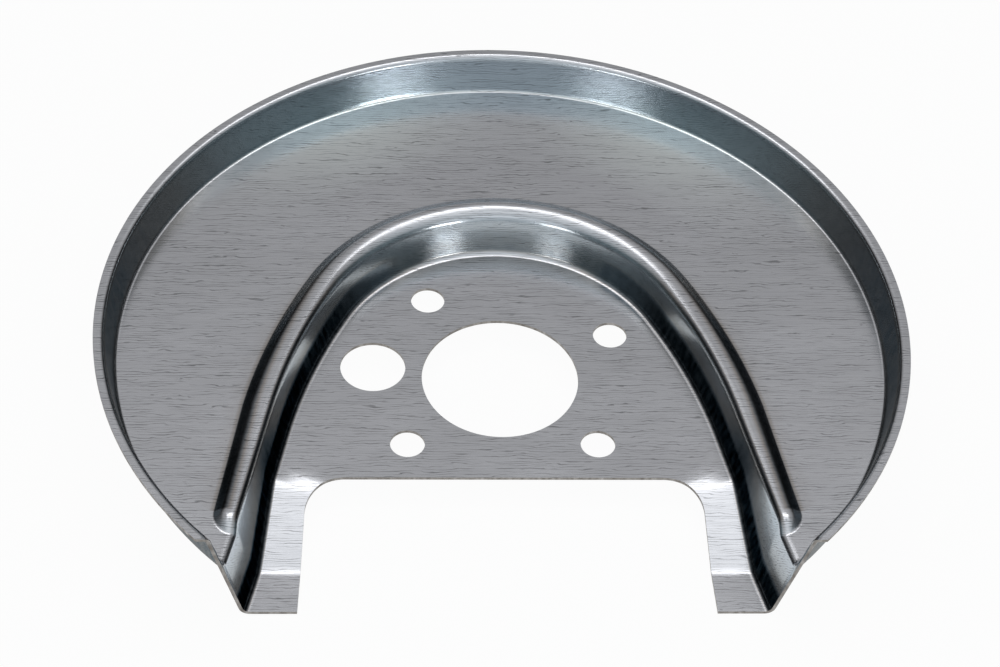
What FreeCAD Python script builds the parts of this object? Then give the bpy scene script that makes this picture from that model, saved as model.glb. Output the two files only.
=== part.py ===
import FreeCAD, Part
import math
import os

from FreeCAD import Vector

# Brake dust shield: one dished sheet-steel pressing that covers the inboard side of a brake disc.
# It lies with its axis upright and its rim up. The origin is the centre of the hub bore on the
# outboard face of the hub plate, and the caliper notch opens towards -Y. Millimetres and degrees.
# Heights are those of the outboard face. Every bend is given by its inside radius.
# The bends of the rim, and of the wall's foot on the inboard face, are flats that touch their radius.

# Sheet
sheet = 1.0

# Flat ring of the dish and the rim round it
shield_radius = 122.5
plate_height = 12.0
rim_height = 13.0
rim_draft = 11.5
lip_width = 3.2
rim_bend = 1.0
lip_bend = 0.8

# Horseshoe wall between the sunken hub plate and the ring: an arc over the hub, a wider arc down
# each side, a straight leg and an end that flares outwards. Sizes are of its foot on the hub plate.
shoe_radius = 53.5
shoe_angle = 28.0
leg_radius = 190.0
leg_angle = 12.0
flare_start = -62.0
flare_radius = 500.0
wall_draft = 15.0
wall_foot_bend = 2.2
wall_top_bend = 2.0

# Stiffening bead along the top of the wall, measured outwards from the wall's foot. It narrows by the taper's
# angle down each leg
bead_foot = 12.7
bead_height = 2.4
bead_slope = 36.0
bead_end = -65.5
bead_taper = 2.0
bead_crest_bend = 4.0
bead_foot_bend = 0.8

# Legs beside the notch: a ramp down from the hub plate to a flat foot
ramp_start = -42.0
foot_start = -69.6
foot_depth = 8.0
ramp_bend = 8.0
foot_bend = 6.0
trim_line = -84.0

# Caliper notch
notch_line = -40.0
notch_half_width = 58.7
notch_flare = 3.0
notch_corner = 12.0

# Holes in the hub plate
hub_bore = 48.0
bolt_hole = 10.5
bolt_circle = 78.4
bolt_upper_angles = (27.5, 123.5)
bolt_lower_spread = 47.0
sensor_hole = 20.0
sensor_circle = 78.4
sensor_angle = 173.5

# How far the forming bodies run past the finished part
overrun = 12.0

# Levels and radii that follow
crest_height = plate_height + bead_height
rim_top = plate_height + rim_height
rim_corner = shield_radius - lip_width
rim_foot = rim_corner - rim_height * math.tan(math.radians(rim_draft))
bead_crest = bead_foot - bead_height / math.tan(math.radians(bead_slope))
sky = rim_top + overrun
ground = -foot_depth - sheet - overrun
front = trim_line - overrun
reach = shield_radius + overrun


def polar(radius, angle):
    """Point of the XY plane at a radius and an angle from +X."""
    turn = math.radians(angle)
    return Vector(radius * math.cos(turn), radius * math.sin(turn), 0)


def rounded(points, radii):
    """Edges along a polyline whose inner corners are rounded, one radius for each of them."""
    edges = []
    start = points[0]
    for before, corner, after, radius in zip(points, points[1:], points[2:], radii):
        arriving = (corner - before).normalize()
        leaving = (after - corner).normalize()
        reach_back = radius * math.tan(arriving.getAngle(leaving) / 2)
        first = corner - arriving * reach_back
        last = corner + leaving * reach_back
        inward = (leaving - arriving).normalize()
        to_centre = math.hypot(radius, reach_back)
        middle = corner + inward * (to_centre - radius)
        edges.append(Part.LineSegment(start, first).toShape())
        edges.append(Part.Arc(first, middle, last).toShape())
        start = last
    edges.append(Part.LineSegment(start, points[-1]).toShape())
    return edges


def bevel(turn):
    """How far a flat that touches the middle of a bend runs back from its corner, per unit of radius."""
    return math.tan(turn / 2) - math.tan(turn / 4)


def bevelled(points, radii):
    """Edges along a polyline whose inner corners are cut by a flat that touches the middle of the bend."""
    corners = [points[0]]
    for before, corner, after, radius in zip(points, points[1:], points[2:], radii):
        arriving = (corner - before).normalize()
        leaving = (after - corner).normalize()
        turn = arriving.getAngle(leaving)
        back = radius * bevel(turn)
        corners.append(corner - arriving * back)
        corners.append(corner + leaving * back)
    corners.append(points[-1])
    return [Part.LineSegment(start, end).toShape() for start, end in zip(corners, corners[1:])]


def skin_face(corners, bends, depth, level, turned):
    """Face in the XZ plane between a folded skin and a level.

    The skin lies a depth below the outboard face, whose corners run towards +X. A fold that rises
    has its inside on the outboard face and one that falls has it on the inboard face.
    """
    directions = []
    for before, after in zip(corners, corners[1:]):
        directions.append(Vector(after[0] - before[0], 0, after[1] - before[1]).normalize())
    points = [Vector(corners[0][0], 0, corners[0][1] - depth)]
    radii = []
    for corner, arriving, leaving, bend in zip(corners[1:], directions, directions[1:], bends):
        rise = arriving.x * leaving.z - arriving.z * leaving.x
        down = Vector(arriving.z + leaving.z, 0, -arriving.x - leaving.x).normalize()
        shift = depth / math.cos(arriving.getAngle(leaving) / 2)
        points.append(Vector(corner[0], 0, corner[1]) + down * shift)
        radii.append(bend + depth if rise > 0 else bend + sheet - depth)
    points.append(Vector(corners[-1][0], 0, corners[-1][1] - depth))
    edges = turned(points, radii)
    below_first = Vector(points[0].x, 0, level)
    below_last = Vector(points[-1].x, 0, level)
    edges.append(Part.LineSegment(points[-1], below_last).toShape())
    edges.append(Part.LineSegment(below_last, below_first).toShape())
    edges.append(Part.LineSegment(below_first, points[0]).toShape())
    return Part.Face(Part.Wire(edges))


# Plan of the wall's foot on the +X side: joints between its pieces and the centres of its arcs
out_upper = polar(1, shoe_angle)
out_lower = polar(1, leg_angle)
down_leg = polar(1, leg_angle - 90)
shoe_end = out_upper * shoe_radius
leg_centre = shoe_end - out_upper * leg_radius
leg_start = leg_centre + out_lower * leg_radius
leg_end = leg_start + down_leg * ((flare_start - leg_start.y) / down_leg.y)
flare_centre = leg_end + out_lower * flare_radius
front_angle = math.degrees(math.asin((flare_centre.y - front) / flare_radius))


def shoe_wire(offset, height):
    """Closed outline of the horseshoe, offset outwards from the wall's foot, at a height."""

    def arc(centre, radius, first, last):
        ends = [centre + polar(radius, angle) for angle in (first, (first + last) / 2, last)]
        return Part.Arc(*ends).toShape()

    def mirrored(edge):
        return edge.mirror(Vector(), Vector(1, 0, 0))

    outward = out_lower * offset
    flare = flare_radius - offset
    side = [
        arc(leg_centre, leg_radius + offset, shoe_angle, leg_angle),
        Part.LineSegment(leg_start + outward, leg_end + outward).toShape(),
        arc(flare_centre, flare, 180 + leg_angle, 180 + front_angle),
    ]
    corner = flare_centre + polar(flare, 180 + front_angle)
    over = arc(Vector(), shoe_radius + offset, 180 - shoe_angle, shoe_angle)
    across = Part.LineSegment(corner, Vector(-corner.x, corner.y, 0)).toShape()
    back = [mirrored(edge) for edge in reversed(side)]
    wire = Part.Wire([over] + side + [across] + back)
    wire.translate(Vector(0, 0, height))
    return wire


def hub_space(depth):
    """Space inside the horseshoe wall and above the hub plate, its ramps and its feet."""
    lean = math.tan(math.radians(wall_draft))
    grown = depth / math.cos(math.radians(wall_draft))
    levels = [shoe_wire(z * lean + grown, z) for z in (ground, sky)]
    space = Part.makeLoft(levels, True, True)
    floor = [(front - overrun, -foot_depth), (foot_start, -foot_depth), (ramp_start, 0), (reach, 0)]
    above = skin_face(floor, (foot_bend, ramp_bend), depth, sky + overrun, rounded)
    above.rotate(Vector(), Vector(0, 0, 1), 90)
    above = above.extrude(Vector(2 * reach, 0, 0))
    above.translate(Vector(-reach, 0, 0))
    space = space.common(above)
    highest_foot = -depth + wall_foot_bend / 100
    foot_edges = []
    for edge in space.Edges:
        box = edge.BoundBox
        if box.ZMax < highest_foot and box.YLength > wall_foot_bend / 10:
            foot_edges.append(edge)
    if depth == 0:
        return space.makeFillet(wall_foot_bend, foot_edges)
    turn = math.radians(90 - wall_draft)
    return space.makeChamfer((wall_foot_bend + depth) * bevel(turn), foot_edges)


def bead_ridge(depth):
    """Raised bead along the wall, with a rounded end on each leg, standing on the ring."""
    land = bead_foot + 2 * (bead_foot_bend + sheet)
    up = Vector(0, 0, 1)

    def section(first):
        corners = [
            (first, crest_height),
            (bead_crest, crest_height),
            (bead_foot, plate_height),
            (land, plate_height),
        ]
        level = plate_height - overrun / 2
        return skin_face(corners, (bead_crest_bend, bead_foot_bend), depth, level, rounded)

    def placed(point, angle, first=0):
        copy = section(first)
        copy.rotate(Vector(), up, angle)
        copy.translate(point)
        return copy

    narrowing = polar(1, leg_angle - 90 - bead_taper)
    last = leg_start + narrowing * ((bead_end - leg_start.y) / narrowing.y)
    pivot = crest_height * math.tan(math.radians(wall_draft)) - (last - leg_start).dot(out_lower)
    over = placed(shoe_end, shoe_angle).revolve(Vector(), up, 180 - 2 * shoe_angle)
    side = [
        placed(shoe_end, shoe_angle).revolve(leg_centre, up, leg_angle - shoe_angle),
        placed(leg_start, leg_angle).extrude(last - leg_start),
        placed(last, leg_angle, pivot).revolve(last + out_lower * pivot, up, -180),
    ]
    other = [solid.mirror(Vector(), Vector(1, 0, 0)) for solid in side]
    return [over] + side + other


def rim_ring(depth):
    """Ring of material under the rim wall and its lip."""
    inner = rim_foot - 2 * (rim_bend + sheet)
    corners = [
        (inner, plate_height),
        (rim_foot, plate_height),
        (rim_corner, rim_top),
        (reach + depth, rim_top),
    ]
    face = skin_face(corners, (rim_bend, lip_bend), depth, ground - depth, bevelled)
    return face.revolve(Vector(), Vector(0, 0, 1), 360)


def form(depth):
    """Everything below the skin that lies a depth under the outboard face."""
    space = hub_space(depth)
    height = plate_height - ground
    ring = Part.makeCylinder(reach, height, Vector(0, 0, ground - depth))
    ring = ring.multiFuse(bead_ridge(depth)).removeSplitter()
    ring = ring.cut(space)
    lowest_top = plate_height - depth - wall_top_bend / 100
    top_edges = []
    for edge in ring.Edges:
        middle = edge.valueAt((edge.FirstParameter + edge.LastParameter) / 2)
        if edge.BoundBox.ZMin > lowest_top and space.isInside(middle, sheet / 100, True):
            top_edges.append(edge)
    ring = ring.makeFillet(wall_top_bend + sheet - depth, top_edges)
    return ring.fuse(rim_ring(depth).cut(space))


def trim_tool():
    """Prism of the trimmed blank: the lip's circle cut off by the straight front line."""
    disc = Part.makeCylinder(shield_radius, sky - ground, Vector(0, 0, ground))
    width = 2 * reach
    behind = Part.makeBox(width, reach - trim_line, sky - ground, Vector(-reach, trim_line, ground))
    return disc.common(behind)


def notch_tool():
    """Prism of the caliper notch, open to the front."""
    depth = notch_line - front
    wide = notch_half_width + depth * math.tan(math.radians(notch_flare))
    corners = [
        Vector(-wide, front, ground),
        Vector(-notch_half_width, notch_line, ground),
        Vector(notch_half_width, notch_line, ground),
        Vector(wide, front, ground),
    ]
    edges = rounded(corners, (notch_corner, notch_corner))
    edges.append(Part.LineSegment(corners[-1], corners[0]).toShape())
    return Part.Face(Part.Wire(edges)).extrude(Vector(0, 0, sky - ground))


def hole_tool(diameter, centre):
    """Punch for one round hole through the hub plate."""
    return Part.makeCylinder(diameter / 2, overrun, centre - Vector(0, 0, overrun / 2))


def hub_holes():
    """Hub bore, the four bolt holes of the axle flange and the sensor hole."""
    bolt_angles = bolt_upper_angles + (270 - bolt_lower_spread, 270 + bolt_lower_spread)
    holes = [hole_tool(hub_bore, Vector())]
    holes.append(hole_tool(sensor_hole, polar(sensor_circle / 2, sensor_angle)))
    for angle in bolt_angles:
        holes.append(hole_tool(bolt_hole, polar(bolt_circle / 2, angle)))
    return holes


pressing = form(0).cut(form(sheet))
pressing = pressing.common(trim_tool())
pressing = pressing.cut([notch_tool()] + hub_holes())
shield = pressing.removeSplitter().Solids[0]

os.makedirs("parts", exist_ok=True)
shield.exportStep("parts/dust_shield.step")
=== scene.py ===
import math

import bpy
import numpy as np
from mathutils import Matrix, Vector
from mathutils.geometry import delaunay_2d_cdt


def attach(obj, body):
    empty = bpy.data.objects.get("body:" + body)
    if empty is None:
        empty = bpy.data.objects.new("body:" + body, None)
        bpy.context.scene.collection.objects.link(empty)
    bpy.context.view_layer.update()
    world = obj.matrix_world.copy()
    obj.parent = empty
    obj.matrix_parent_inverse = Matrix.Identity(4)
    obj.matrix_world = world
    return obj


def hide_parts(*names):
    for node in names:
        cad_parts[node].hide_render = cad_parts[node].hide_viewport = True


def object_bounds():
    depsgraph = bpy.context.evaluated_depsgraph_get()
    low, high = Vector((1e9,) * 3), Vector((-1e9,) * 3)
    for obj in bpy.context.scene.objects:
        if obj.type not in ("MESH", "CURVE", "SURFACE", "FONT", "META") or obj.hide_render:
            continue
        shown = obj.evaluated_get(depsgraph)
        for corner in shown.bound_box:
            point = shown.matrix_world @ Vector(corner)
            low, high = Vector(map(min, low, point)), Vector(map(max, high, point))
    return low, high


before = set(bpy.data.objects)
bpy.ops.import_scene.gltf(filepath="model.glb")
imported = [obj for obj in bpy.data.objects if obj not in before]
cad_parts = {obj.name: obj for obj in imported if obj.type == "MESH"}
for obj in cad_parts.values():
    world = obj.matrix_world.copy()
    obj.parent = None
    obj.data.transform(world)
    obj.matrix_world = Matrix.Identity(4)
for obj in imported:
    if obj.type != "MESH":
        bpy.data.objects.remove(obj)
cad_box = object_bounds()

# Dust shield: one pressing of zinc-coated cold-rolled steel sheet, drawn, trimmed and punched in a press.
# It is bare metal with the mill's rolling grain along X, with painted shade on the wall, its edges, the
# bead's outer slope and the rim's sides, and painted pale reflections on the ring.
# The shown sheet has the imported solid's sizes, in millimetres, with round bends and a finer mesh.
sheet = 1.0
shield_radius = 122.5
plate_height = 12.0
rim_height = 13.0
rim_draft = math.radians(11.5)
lip_width = 3.2
rim_bend = 1.0
lip_bend = 0.8
shoe_radius = 53.5
shoe_angle = math.radians(28)
leg_radius = 190.0
leg_angle = math.radians(12)
flare_start = -62.0
flare_radius = 500.0
wall_draft = math.radians(15)
wall_foot_bend = 2.2
wall_top_bend = 2.0
wall_top_softening = 2.0
bead_foot = 12.7
bead_height = 2.4
bead_slope = math.radians(36)
bead_end = -65.5
bead_taper = math.radians(2)
bead_crest_bend = 4.0
bead_foot_bend = 0.8
ramp_start = -42.0
foot_start = -69.6
foot_depth = 8.0
ramp_bend = 8.0
foot_bend = 6.0
trim_line = -84.0
notch_line = -40.0
notch_half_width = 58.7
notch_flare = math.radians(3)
notch_corner = 12.0
# Holes in the hub plate: diameter, diameter of the circle that the centre lies on, and angle from +X
hub_holes = [
    (48.0, 0.0, 0.0),
    (20.0, 78.4, 173.5),
    (10.5, 78.4, 27.5),
    (10.5, 78.4, 123.5),
    (10.5, 78.4, 223.0),
    (10.5, 78.4, 317.0),
]

crest_height = plate_height + bead_height
bead_crest = bead_foot - bead_height / math.tan(bead_slope)
rim_corner = shield_radius - lip_width
rim_foot = rim_corner - rim_height * math.tan(rim_draft)
lean = math.tan(wall_draft)
pivot = crest_height * lean
far = 300.0


def spoke(angle):
    """Point at a distance of one from the axis, at an angle from +X."""
    return np.array((math.cos(angle), math.sin(angle)))


out_upper = spoke(shoe_angle)
out_lower = spoke(leg_angle)
down_leg = spoke(leg_angle - math.pi / 2)
leg_centre = out_upper * (shoe_radius - leg_radius)
leg_start = leg_centre + out_lower * leg_radius
leg_length = (flare_start - leg_start[1]) / down_leg[1]
narrowing = spoke(leg_angle - math.pi / 2 - bead_taper)
bead_length = (bead_end - leg_start[1]) / narrowing[1] * math.cos(bead_taper)
flare_centre = leg_start + down_leg * leg_length + out_lower * flare_radius


def folded(place, corners, bends, depth):
    """Height of a folded skin over a line of places; the skin lies a depth under the outboard face."""
    corners = np.array(corners, float)
    runs = np.diff(corners, axis=0)
    runs /= np.linalg.norm(runs, axis=1)[:, None]
    line = [corners[0] - (0, depth)]
    rounds = []
    for corner, arriving, leaving, bend in zip(corners[1:], runs, runs[1:], bends):
        rising = arriving[0] * leaving[1] - arriving[1] * leaving[0] > 0
        turn = math.acos(arriving @ leaving)
        down = np.array((arriving[1] + leaving[1], -arriving[0] - leaving[0]))
        shifted = corner + down / np.linalg.norm(down) * depth / math.cos(turn / 2)
        radius = bend + depth if rising else bend + sheet - depth
        back = radius * math.tan(turn / 2)
        first = shifted - arriving * back
        last = shifted + leaving * back
        side = 1 if rising else -1
        centre = first + side * radius * np.array((-arriving[1], arriving[0]))
        rounds.append((first[0], last[0], centre, radius, side))
        line.append(shifted)
    line.append(corners[-1] - (0, depth))
    line = np.array(line)
    height = np.interp(place, line[:, 0], line[:, 1])
    for first, last, centre, radius, side in rounds:
        arc = centre[1] - side * np.sqrt(np.clip(radius**2 - (place - centre[0]) ** 2, 0, None))
        height = np.where((place > first) & (place < last), arc, height)
    return height


def from_wall(x, y):
    """Distance outwards from the wall's foot, and distance down the leg from the start of its straight."""
    right = np.abs(x)
    dx = right - leg_start[0]
    dy = y - leg_start[1]
    over = out_upper[0] * y - out_upper[1] * right > 0
    side = out_lower[0] * dy - out_lower[1] * dx > 0
    along = dx * down_leg[0] + dy * down_leg[1]
    straight = dx * out_lower[0] + dy * out_lower[1]
    flared = flare_radius - np.hypot(right - flare_centre[0], y - flare_centre[1])
    leg = np.where(along < leg_length, straight, flared)
    leg = np.where(side, np.hypot(right - leg_centre[0], y - leg_centre[1]) - leg_radius, leg)
    along = np.where(over | side, 0, np.clip(along, 0, None))
    return np.where(over, np.hypot(right, y) - shoe_radius, leg), along


def floor_height(y, depth):
    """Hub plate, ramp and foot."""
    corners = [(-far, -foot_depth), (foot_start, -foot_depth), (ramp_start, 0), (far, 0)]
    return folded(y, corners, (foot_bend, ramp_bend), depth)


def narrowed(along):
    """How much narrower the bead has become at a distance down the leg."""
    return np.minimum(along, bead_length) * math.tan(bead_taper)


def bead_top(out, along, depth):
    """Bead and ring outside the wall; the bead's end turns about the wall's top."""
    corners = [(0, crest_height), (bead_crest, crest_height), (bead_foot, plate_height), (far, plate_height)]
    past = np.clip(along - bead_length, 0, None)
    reach = pivot + narrowed(along) + np.hypot(np.clip(out - pivot, 0, None), past)
    return folded(reach, corners, (bead_crest_bend, bead_foot_bend), depth)


def skin_height(x, y, depth):
    """Height of the sheet's skin at a depth under its outboard face."""
    out, along = from_wall(x, y)
    grown = depth / math.cos(wall_draft)
    half_turn = (math.pi / 2 - wall_draft) / 2
    ground = floor_height(y, depth)
    # Wall foot: an arc from the floor into the wall
    radius = wall_foot_bend + depth
    back = radius * math.tan(half_turn)
    corner = ground * lean + grown
    arc = ground + radius - np.sqrt(np.clip(radius**2 - (out - corner + back) ** 2, 0, None))
    inside = np.where(out < corner + back * math.sin(wall_draft), arc, (out - grown) / lean)
    inside = np.where(out < corner - back, ground, inside)
    # Wall top: an arc that touches the wall and the bead, found for steps down the leg
    radius = wall_top_bend + sheet - depth
    steps = np.append(np.linspace(0, bead_length, 24), bead_length + np.arange(0.25, 16, 0.25))
    low = np.full(steps.shape, pivot)
    high = low + 9
    for _ in range(40):
        middle = (low + high) / 2
        top = bead_top(middle, steps, depth)
        fall = (bead_top(middle + 0.01, steps, depth) - top) / 0.01
        length = np.hypot(1, fall)
        centre_out = middle + radius * fall / length
        centre_up = top - radius / length
        gap = (centre_out - grown) * math.cos(wall_draft) - centre_up * math.sin(wall_draft) - radius
        low = np.where(gap < 0, middle, low)
        high = np.where(gap < 0, high, middle)
    ends = np.interp(along, steps, low)
    centre_out = np.interp(along, steps, centre_out)
    centre_up = np.interp(along, steps, centre_up)
    # The wall's top edge is rounder over the hub, where the sheet has been drawn less sharply
    softer = np.interp(y, (5, 45), (0, wall_top_softening))
    radius = radius + softer
    further = softer * (1 - math.sin(wall_draft)) / math.cos(wall_draft)
    ends = ends + further
    centre_out = centre_out + further
    centre_up = centre_up - softer
    arc = centre_up + np.sqrt(np.clip(radius**2 - (out - centre_out) ** 2, 0, None))
    ring = np.where(out < ends, arc, bead_top(out, along, depth))
    ring = np.where(out < centre_out - radius * math.cos(wall_draft), inside, ring)
    # Rim and lip
    across = np.hypot(x, y)
    corners = [(0, plate_height), (rim_foot, plate_height), (rim_corner, plate_height + rim_height)]
    corners.append((far, plate_height + rim_height))
    rim = folded(across, corners, (rim_bend, lip_bend), depth)
    rim = np.where(across > rim_foot - rim_bend, np.minimum(rim, inside), -far)
    return np.maximum(ring, rim)


# Blank seen from above. Stations follow the wall's foot from over the hub to the end of a leg, and each has
# rows of points across the foot bend, the wall's top edge and the bead, close together where the sheet bends
shoe_stations = 54
side_stations = 32
leg_stations = 25
flare_runs = np.arange(0.4, 26, 0.45)
foot_rows = np.arange(-2.0, 2.1, 0.17)
edge_rows = np.arange(2.9, 6.9, 0.2)
bead_rows = np.concatenate([np.arange(7.1, 11.6, 0.32), np.arange(11.7, 14.3, 0.18)])
bead_to_rim = 1.5
path = []
for angle in np.linspace(math.pi / 2, shoe_angle, shoe_stations):
    path.append((spoke(angle) * shoe_radius, spoke(angle), 0))
for angle in np.linspace(shoe_angle, leg_angle, side_stations)[1:]:
    path.append((leg_centre + spoke(angle) * leg_radius, spoke(angle), 0))
for run in np.linspace(0, leg_length, leg_stations)[1:]:
    path.append((leg_start + down_leg * run, out_lower, run))
for run in flare_runs:
    spread = spoke(math.pi + leg_angle + run / flare_radius)
    path.append((flare_centre + spread * flare_radius, -spread, leg_length + run))
places = []
for base, outward, along in path:
    for row in foot_rows + floor_height(base[1], 0) * lean:
        places.append(base + outward * row)
    for row in edge_rows:
        places.append(base + outward * row)
    for row in bead_rows - narrowed(along):
        spot = base + outward * row
        if np.hypot(*spot) < rim_foot - bead_to_rim:
            places.append(spot)
places = np.array(places)
right_side = places[:, 0] > 0.01
places = np.concatenate([places, places[right_side] * (-1, 1)])


def round_rows(turns, rows, to_wall):
    """Rows of points round the shield's axis, without those that come too close to the wall."""
    spots = np.array([spoke(turn) * row for turn in turns for row in rows])
    return spots[from_wall(spots[:, 0], spots[:, 1])[0] > to_wall]


lip_end = math.asin(trim_line / shield_radius)
rim_turns = np.linspace(lip_end, math.pi - lip_end, 330)
rim_rows = np.arange(rim_foot - 1.2, rim_corner + 1.9, 0.17)
ring_turns = np.linspace(-0.7, math.pi + 0.7, 150)
ring_rows = np.arange(60, rim_foot - 3, 4)
places = np.concatenate([places, round_rows(rim_turns, rim_rows, 2), round_rows(ring_turns, ring_rows, 16)])

# Outline: the lip's circle, the straight trim line, the notch, and the punched holes
trim_step = 0.3
notch_steps = 40
corner_steps = 26
edge_margin = 0.12
notch_centre = np.array((
    notch_half_width - notch_corner * math.tan((math.pi / 2 - notch_flare) / 2),
    notch_line - notch_corner,
))
notch_front = notch_half_width + (notch_line - trim_line) * math.tan(notch_flare)
half_outline = [spoke(turn) * shield_radius for turn in rim_turns[::-1] if turn <= math.pi / 2]
lip_corner = half_outline[-1]
for x in np.arange(lip_corner[0] - trim_step, notch_front + 0.2, -trim_step):
    half_outline.append(np.array((x, trim_line)))
for y in np.linspace(trim_line, notch_centre[1] + 1, notch_steps):
    half_outline.append(np.array((notch_half_width + (notch_line - y) * math.tan(notch_flare), y)))
for angle in np.linspace(notch_flare, math.pi / 2, corner_steps):
    half_outline.append(notch_centre + spoke(angle) * notch_corner)
half_outline = np.array(half_outline)
loops = [np.concatenate([half_outline, half_outline[::-1] * (-1, 1)])]
for diameter, circle, angle in hub_holes:
    centre = spoke(math.radians(angle)) * circle / 2
    count = int(diameter * 2.2) + 30
    turns = np.linspace(0, 2 * math.pi, count + 1)[:-1]
    loops.append(np.array([centre + spoke(turn) * diameter / 2 for turn in turns]))

# Points that lie outside the blank or too close to its outline are left out
behind_trim = places[:, 1] > trim_line + edge_margin
inside_lip = np.hypot(places[:, 0], places[:, 1]) < shield_radius - edge_margin
places = places[behind_trim & inside_lip]
outline = []
edges = []
for loop in loops:
    first = len(outline)
    count = len(loop)
    outline.extend(loop)
    edges.extend((first + i, first + (i + 1) % count) for i in range(count))
flat = [Vector(p) for p in np.concatenate([np.array(outline), places])]
cut = delaunay_2d_cdt(flat, edges, [], 2, 1e-4)
plan = np.array([tuple(v) for v in cut[0]])
triangles = np.array(cut[2])
# Triangles in the holes are dropped, and the rest are turned to face outboard
middles = plan[triangles].mean(axis=1)
for diameter, circle, angle in hub_holes:
    centre = spoke(math.radians(angle)) * circle / 2
    beside = np.hypot(*(middles - centre).T) > diameter / 2
    triangles = triangles[beside]
    middles = middles[beside]
one_side = plan[triangles[:, 1]] - plan[triangles[:, 0]]
next_side = plan[triangles[:, 2]] - plan[triangles[:, 0]]
facing_in = one_side[:, 0] * next_side[:, 1] - one_side[:, 1] * next_side[:, 0] < 0
triangles[facing_in] = triangles[facing_in][:, ::-1]
used, triangles = np.unique(triangles, return_inverse=True)
triangles = triangles.reshape(-1, 3)
plan = plan[used]
# Both skins over that plan, joined by the cut faces along the outline
count = len(plan)
outboard = np.column_stack([plan, skin_height(plan[:, 0], plan[:, 1], 0)])
inboard = np.column_stack([plan, skin_height(plan[:, 0], plan[:, 1], sheet)])
sides = np.concatenate([triangles[:, [0, 1]], triangles[:, [1, 2]], triangles[:, [2, 0]]])
paired = set(map(tuple, sides))
rims = [(int(p), int(q)) for p, q in sides if (q, p) not in paired]
faces = [tuple(map(int, t)) for t in triangles]
faces += [tuple(int(i) + count for i in t[::-1]) for t in triangles]
faces += [(q, p, p + count, q + count) for p, q in rims]
pressing = bpy.data.meshes.new("pressed_sheet")
pressing.from_pydata((np.concatenate([outboard, inboard]) / 1000).tolist(), [], faces)
pressing.polygons.foreach_set("use_smooth", [True] * len(pressing.polygons))
cut_edges = {tuple(sorted(pair)) for pair in rims}
cut_edges |= {(p + count, q + count) for p, q in cut_edges}
for edge in pressing.edges:
    edge.use_edge_sharp = tuple(sorted(edge.vertices)) in cut_edges

# Painted shade: the sheet's colour is darkened where shade and dark reflections fall, on the wall and its
# edges down the legs, on the bead's outer slope and on the sides of the rim. Each band's strength changes
# along Y.
x, y = plan.T
out, along = from_wall(x, y)
across = np.hypot(x, y)
up_wall = out - floor_height(y, 0) * lean


def between(value, first, last, fade):
    """1 inside a band and 0 outside it, with a soft edge."""
    return np.clip((value - first) / fade + 0.5, 0, 1) * np.clip((last - value) / fade + 0.5, 0, 1)


# Painted shade on the wall: darkest at its foot and less towards its top, and darkest of all half way down
# the legs
shade_fade_to_top = np.interp(y, (20, 50), (0.9, 1.5))
wall_painted_shade = between(up_wall, 0, pivot + 0.6, 0.6)
wall_painted_shade *= 1.5 - np.clip(up_wall / pivot, 0, 1) * shade_fade_to_top
wall_painted_shade *= np.interp(y, (-84, -66, -50, -38, -28, -14, 45), (0.05, 0.2, 0.5, 0.75, 0.5, 0.2, 0.33))
foot_painted_shade = between(up_wall, -0.9, 2.0, 0.7) * np.interp(y, (20, 42, 50), (0.95, 0.6, 0))
edge_painted_shade = between(out, pivot, pivot + 0.9, 0.6) * np.interp(y, (-72, -60, 10, 35), (0, 0.75, 0.75, 0))
slope_painted_shade = between(out + narrowed(along), bead_crest - 1.0, bead_foot + 0.4, 2.8) * (along < bead_length)
slope_painted_shade *= np.interp(y, (0, 40), (0.8, 0.1))
# Painted shade on the rim: inside along its sides, and outside all the way round
rim_painted_shade = between(across, rim_foot, rim_corner, 0.8) * np.interp(y, (20, 60, 100), (0.58, 0.36, 0.05))
outside_painted_shade = 0.55 * between(across, rim_foot + 0.8, rim_corner + 1.4, 0.8)
# Painted shade: the strongest of the bands at each point of the outboard skin
shade_mask_values = np.max([wall_painted_shade, foot_painted_shade, edge_painted_shade, slope_painted_shade, rim_painted_shade], axis=0)
# Painted reflection: paler, bluer patches painted into the ring's colour in place of reflections, inside the
# rim at the upper left and right, at these angles from +X and with these half widths, in degrees
painted_reflection_patches = ((60, 17), (115, 18))
turned = np.degrees(np.arctan2(y, x))
painted_reflection_level = sum(np.exp(-(((turned - middle) / width) ** 2)) for middle, width in painted_reflection_patches)
painted_reflection_level = painted_reflection_level * np.clip((across - 80) / 30, 0, 1) * (across < rim_foot)
# The painted shade is stored for both skins: the bands on the outboard skin, the band outside the rim on the
# inboard skin
pressing.attributes.new("painted_shade_mask", "FLOAT", "POINT").data.foreach_set("value", np.append(shade_mask_values, outside_painted_shade))
pressing.attributes.new("painted_reflection_mask", "FLOAT", "POINT").data.foreach_set("value", np.append(painted_reflection_level, painted_reflection_level))
pressing.update()
shield = bpy.data.objects.new("pressed_sheet", pressing)
bpy.context.collection.objects.link(shield)
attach(shield, "root")
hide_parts("dust_shield")

# Zinc: a grey metal with grain, hairlines, handling scuffs, painted pale reflection patches and painted shade
zinc = bpy.data.materials.new("zinc_coated_sheet")
zinc.use_nodes = True
tree = zinc.node_tree
nodes = tree.nodes
links = tree.links
nodes.clear()
surface = nodes.new("ShaderNodeOutputMaterial")
steel = nodes.new("ShaderNodeBsdfPrincipled")
steel.inputs["Metallic"].default_value = 1.0
links.new(steel.outputs["BSDF"], surface.inputs["Surface"])
position = nodes.new("ShaderNodeTexCoord")


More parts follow.
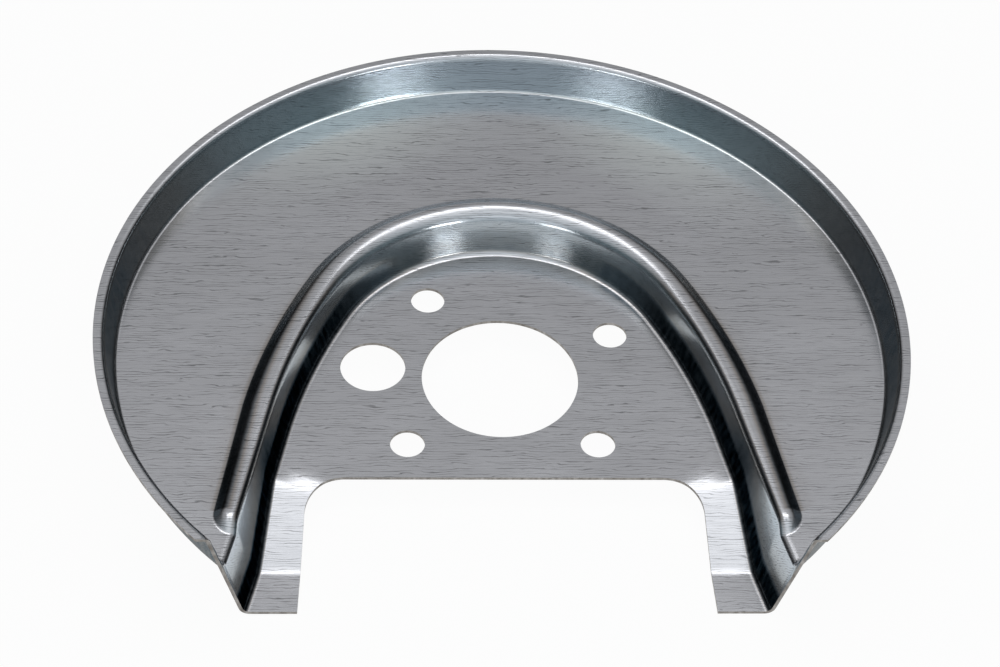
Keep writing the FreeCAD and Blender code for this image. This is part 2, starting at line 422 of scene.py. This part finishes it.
def rolled(name, size, detail):
    """Noise of the material at hand; size is the metres of one cell along X, Y and Z."""
    stretch = nodes.new("ShaderNodeMapping")
    stretch.inputs["Scale"].default_value = [1 / s for s in size]
    links.new(position.outputs["Object"], stretch.inputs["Vector"])
    noise = nodes.new("ShaderNodeTexNoise")
    noise.name = name
    noise.inputs["Scale"].default_value = 1.0
    noise.inputs["Detail"].default_value = detail
    noise.inputs["Roughness"].default_value = 0.6
    links.new(stretch.outputs["Vector"], noise.inputs["Vector"])
    return noise.outputs["Fac"]


def ramp(value, stops):
    """Colours or greys along a value, given as (place, colour) pairs."""
    steps = nodes.new("ShaderNodeValToRGB")
    while len(steps.color_ramp.elements) < len(stops):
        steps.color_ramp.elements.new(0.5)
    for element, (at, colour) in zip(steps.color_ramp.elements, stops):
        element.position = at
        element.color = (*colour, 1)
    links.new(value, steps.inputs["Fac"])
    return steps.outputs["Color"]


def grey(level):
    return (level, level, level)


def times(first, second, share=None):
    """One colour darkened by another, wholly or by a varying share."""
    mix = nodes.new("ShaderNodeMix")
    mix.data_type = "RGBA"
    mix.blend_type = "MULTIPLY"
    mix.inputs["Factor"].default_value = 1.0
    if share:
        links.new(share, mix.inputs["Factor"])
    links.new(first, mix.inputs["A"])
    links.new(second, mix.inputs["B"])
    return mix.outputs["Result"]


grain = rolled("rolling_grain", (0.025, 0.0005, 0.0005), 3)
clouds = rolled("dull_clouds", (0.05, 0.02, 0.02), 2)
broken = rolled("hairline_breaks", (0.011, 0.0016, 0.0016), 2)

# Hairlines: thin dark wavy seams along the rolling direction, broken into lengths of a centimetre or two.
# The bands are turned half way to upright, so that they cross the walls as well as the flats.
hairline_pitch = 0.0007
pitch_at_scale_one = 0.314
drawn_out = nodes.new("ShaderNodeMapping")
drawn_out.inputs["Scale"].default_value = (0.27, 1, 1)
drawn_out.inputs["Rotation"].default_value = (math.radians(-45), 0, 0)
links.new(position.outputs["Object"], drawn_out.inputs["Vector"])
waves = nodes.new("ShaderNodeTexWave")
waves.bands_direction = "Y"
waves.inputs["Scale"].default_value = pitch_at_scale_one / hairline_pitch
waves.inputs["Distortion"].default_value = 8.5
waves.inputs["Detail"].default_value = 2.0
links.new(drawn_out.outputs["Vector"], waves.inputs["Vector"])
seam = ramp(waves.outputs["Fac"], [(0.0, grey(0.46)), (0.08, grey(0.60)), (0.22, grey(1))])
present = ramp(broken, [(0.42, grey(0.1)), (0.60, grey(1))])
tone = ramp(grain, [(0.25, (0.595, 0.605, 0.64)), (0.75, (0.685, 0.695, 0.73))])
# Painted reflection: pale bluish white mixed into the tone where the patches are
painted_reflection_input = nodes.new("ShaderNodeAttribute")
painted_reflection_input.attribute_name = "painted_reflection_mask"
painted_reflection_mix = nodes.new("ShaderNodeMix")
painted_reflection_mix.data_type = "RGBA"
links.new(painted_reflection_input.outputs["Fac"], painted_reflection_mix.inputs["Factor"])
links.new(tone, painted_reflection_mix.inputs["A"])
painted_reflection_mix.inputs["B"].default_value = (0.94, 1.0, 1.0, 1)
dulled = times(painted_reflection_mix.outputs["Result"], seam, present)
# Painted shade: steeper faces are painted darker and bluer, by how steep the sheet stands
stand = nodes.new("ShaderNodeNewGeometry")
facing = nodes.new("ShaderNodeSeparateXYZ")
links.new(stand.outputs["Normal"], facing.inputs["Vector"])
upright = nodes.new("ShaderNodeMath")
upright.operation = "ABSOLUTE"
links.new(facing.outputs["Z"], upright.inputs[0])
steep_face_painted_shade = ramp(upright.outputs[0], [(0.3, (0.72, 0.80, 0.83)), (0.75, (1, 1, 1))])
# Painted shade bands: darkened through brownish grey to near black where a band is strongest, broken up by
# noise
painted_shade_input = nodes.new("ShaderNodeAttribute")
painted_shade_input.attribute_name = "painted_shade_mask"
shade_breakup = ramp(rolled("painted_shade_breakup", (0.0025, 0.0016, 0.007), 3), [(0.3, grey(0.90)), (0.7, grey(1.08))])
broken_painted_shade = nodes.new("ShaderNodeMath")
broken_painted_shade.operation = "MULTIPLY"
links.new(painted_shade_input.outputs["Fac"], broken_painted_shade.inputs[0])
links.new(shade_breakup, broken_painted_shade.inputs[1])
painted_shade_colour = ramp(broken_painted_shade.outputs[0], [
    (0.0, (1, 1, 1)),
    (0.35, (0.72, 0.67, 0.62)),
    (0.60, (0.40, 0.42, 0.43)),
    (1.0, (0.05, 0.06, 0.065)),
])
# The painted shade also tints the grazing reflection
links.new(painted_shade_colour, steel.inputs["Specular Tint"])
# Handling scuffs: small dull spots here and there
scuffs = ramp(rolled("handling_scuffs", (0.0045, 0.0022, 0.0022), 3), [(0.70, grey(1)), (0.77, grey(0.5))])
# Base colour: the zinc tone with painted pale reflections, darkened by handling scuffs, by painted shade on
# steep faces and by the painted shade bands
links.new(times(times(times(dulled, scuffs), steep_face_painted_shade), painted_shade_colour), steel.inputs["Base Color"])
links.new(ramp(clouds, [(0.3, grey(0.18)), (0.7, grey(0.26))]), steel.inputs["Roughness"])
relief = nodes.new("ShaderNodeBump")
relief.inputs["Strength"].default_value = 0.15
relief.inputs["Distance"].default_value = 0.00005
links.new(grain, relief.inputs["Height"])
links.new(relief.outputs["Normal"], steel.inputs["Normal"])
pressing.materials.append(zinc)

# Cut edges: where the trimming die and the punches sheared the sheet, bare steel shows under the zinc.
# The shear leaves a bright burnished band and a duller torn one, browned a little by first rust.
sheared = bpy.data.materials.new("sheared_edge")
sheared.use_nodes = True
tree = sheared.node_tree
nodes = tree.nodes
links = tree.links
nodes.clear()
surface = nodes.new("ShaderNodeOutputMaterial")
steel = nodes.new("ShaderNodeBsdfPrincipled")
steel.inputs["Metallic"].default_value = 1.0
links.new(steel.outputs["BSDF"], surface.inputs["Surface"])
position = nodes.new("ShaderNodeTexCoord")
torn = rolled("torn_band", (0.002, 0.002, 0.004), 5)
links.new(
    ramp(torn, [(0.3, (0.17, 0.155, 0.14)), (0.55, (0.30, 0.285, 0.27)), (0.75, (0.48, 0.47, 0.46))]),
    steel.inputs["Base Color"],
)
links.new(ramp(torn, [(0.3, grey(0.55)), (0.7, grey(0.35))]), steel.inputs["Roughness"])
pressing.materials.append(sheared)
for face in pressing.polygons[2 * len(triangles):]:
    face.material_index = 1

# Floor: a plain white sheet that the shield stands on.
# It is a flat sweep of matt paper, lit to white, with only the shield's own shadow on it.
floor_half = 4.0
floor_level = cad_box[0].z
paper_sheet = bpy.data.meshes.new("paper_floor")
corners = []
for right, back in ((-1, -1), (1, -1), (1, 1), (-1, 1)):
    corners.append((right * floor_half, back * floor_half, floor_level))
paper_sheet.from_pydata(corners, [], [(0, 1, 2, 3)])
floor = bpy.data.objects.new("paper_floor", paper_sheet)
bpy.context.collection.objects.link(floor)
paper = bpy.data.materials.new("white_paper")
paper.use_nodes = True
tree = paper.node_tree
nodes = tree.nodes
links = tree.links
nodes.clear()
surface = nodes.new("ShaderNodeOutputMaterial")
matt = nodes.new("ShaderNodeBsdfDiffuse")
matt.inputs["Color"].default_value = (0.88, 0.88, 0.88, 1)
white = nodes.new("ShaderNodeEmission")
white.inputs["Strength"].default_value = 1.0
seen = nodes.new("ShaderNodeLightPath")
either = nodes.new("ShaderNodeMath")
either.operation = "MAXIMUM"
links.new(seen.outputs["Is Camera Ray"], either.inputs[0])
links.new(seen.outputs["Is Glossy Ray"], either.inputs[1])
any_view = nodes.new("ShaderNodeMath")
any_view.operation = "MAXIMUM"
links.new(either.outputs[0], any_view.inputs[0])
links.new(seen.outputs["Is Transmission Ray"], any_view.inputs[1])
share = nodes.new("ShaderNodeMath")
share.operation = "MULTIPLY"
share.inputs[1].default_value = 0.95
links.new(any_view.outputs[0], share.inputs[0])
mixed = nodes.new("ShaderNodeMixShader")
links.new(share.outputs[0], mixed.inputs["Fac"])
links.new(matt.outputs["BSDF"], mixed.inputs[1])
links.new(white.outputs["Emission"], mixed.inputs[2])
links.new(mixed.outputs["Shader"], surface.inputs["Surface"])
paper_sheet.materials.append(paper)

# Light: a dim grey room, brighter overhead than round the horizon and a little blue towards the front.
# Soft boxes hang over the shield, behind it and in front of it.
world = bpy.data.worlds.new("grey_room")
bpy.context.scene.world = world
world.use_nodes = True
tree = world.node_tree
nodes = tree.nodes
links = tree.links
nodes.clear()
room = nodes.new("ShaderNodeOutputWorld")
glow = nodes.new("ShaderNodeBackground")
around = nodes.new("ShaderNodeTexCoord")
apart = nodes.new("ShaderNodeSeparateXYZ")
links.new(around.outputs["Generated"], apart.inputs["Vector"])
sky = ramp(apart.outputs["Z"], [
    (0.0, grey(0.012)),
    (0.40, grey(0.02)),
    (0.60, grey(0.33)),
    (0.80, grey(0.465)),
    (0.92, grey(0.70)),
    (0.975, grey(0.82)),
    (1.0, grey(0.40)),
])
links.new(sky, glow.inputs["Color"])
frontward = nodes.new("ShaderNodeMath")
frontward.operation = "MULTIPLY_ADD"
frontward.inputs[1].default_value = -0.5
frontward.inputs[2].default_value = 0.5
links.new(apart.outputs["Y"], frontward.inputs[0])
front_glow = nodes.new("ShaderNodeBackground")
front = ramp(frontward.outputs[0], [(0.35, grey(0)), (0.62, (0.11, 0.15, 0.165)), (1.0, (0.13, 0.17, 0.185))])
links.new(front, front_glow.inputs["Color"])
both = nodes.new("ShaderNodeAddShader")
links.new(glow.outputs["Background"], both.inputs[0])
links.new(front_glow.outputs["Background"], both.inputs[1])
links.new(both.outputs["Shader"], room.inputs["Surface"])


def soft_box(name, at, width, length, power, colour=(1, 1, 1)):
    """Rectangular soft box hung at a point and turned to the shield."""
    lamp = bpy.data.lights.new(name, "AREA")
    lamp.shape = "RECTANGLE"
    lamp.size = width
    lamp.size_y = length
    lamp.energy = power
    lamp.color = colour
    box = bpy.data.objects.new(name, lamp)
    box.location = at
    box.rotation_euler = (Vector() - Vector(at)).to_track_quat("-Z", "Y").to_euler()
    bpy.context.collection.objects.link(box)


soft_box("overhead_box", (0, 0.4, 1.6), 1.4, 0.6, 2.15)
soft_box("strip_box", (0, 0.66, 1.5), 1.8, 0.22, 1.8)
soft_box("back_box", (0, 2.0, 0.8), 1.1, 0.5, 0.8, (0.9, 0.96, 1))
soft_box("front_box", (0, -2.2, 0.95), 3.2, 1.9, 9, (0.96, 0.98, 1))
soft_box("front_left_box", (-0.95, -1.6, 0.40), 0.5, 0.28, 2.2)
soft_box("front_right_box", (0.95, -1.6, 0.40), 0.5, 0.28, 3.2)

# Camera: above the notch side, as in the photograph, on a long lens and turned a little about its axis.
camera_at = Vector((-0.0477, -0.6164, 0.6809))
camera_aim = Vector((0.0006, 0.0186, 0.0))
camera_roll = math.radians(3.41)
view_data = bpy.data.cameras.new("camera")
view_data.sensor_width = 36
view_data.lens = 108
camera = bpy.data.objects.new("camera", view_data)
aimed = (camera_aim - camera_at).to_track_quat("-Z", "Y").to_matrix().to_4x4()
camera.matrix_world = Matrix.Translation(camera_at) @ aimed @ Matrix.Rotation(camera_roll, 4, "Z")
bpy.context.collection.objects.link(camera)
bpy.context.scene.camera = camera
bpy.context.scene.view_settings.view_transform = "Standard"
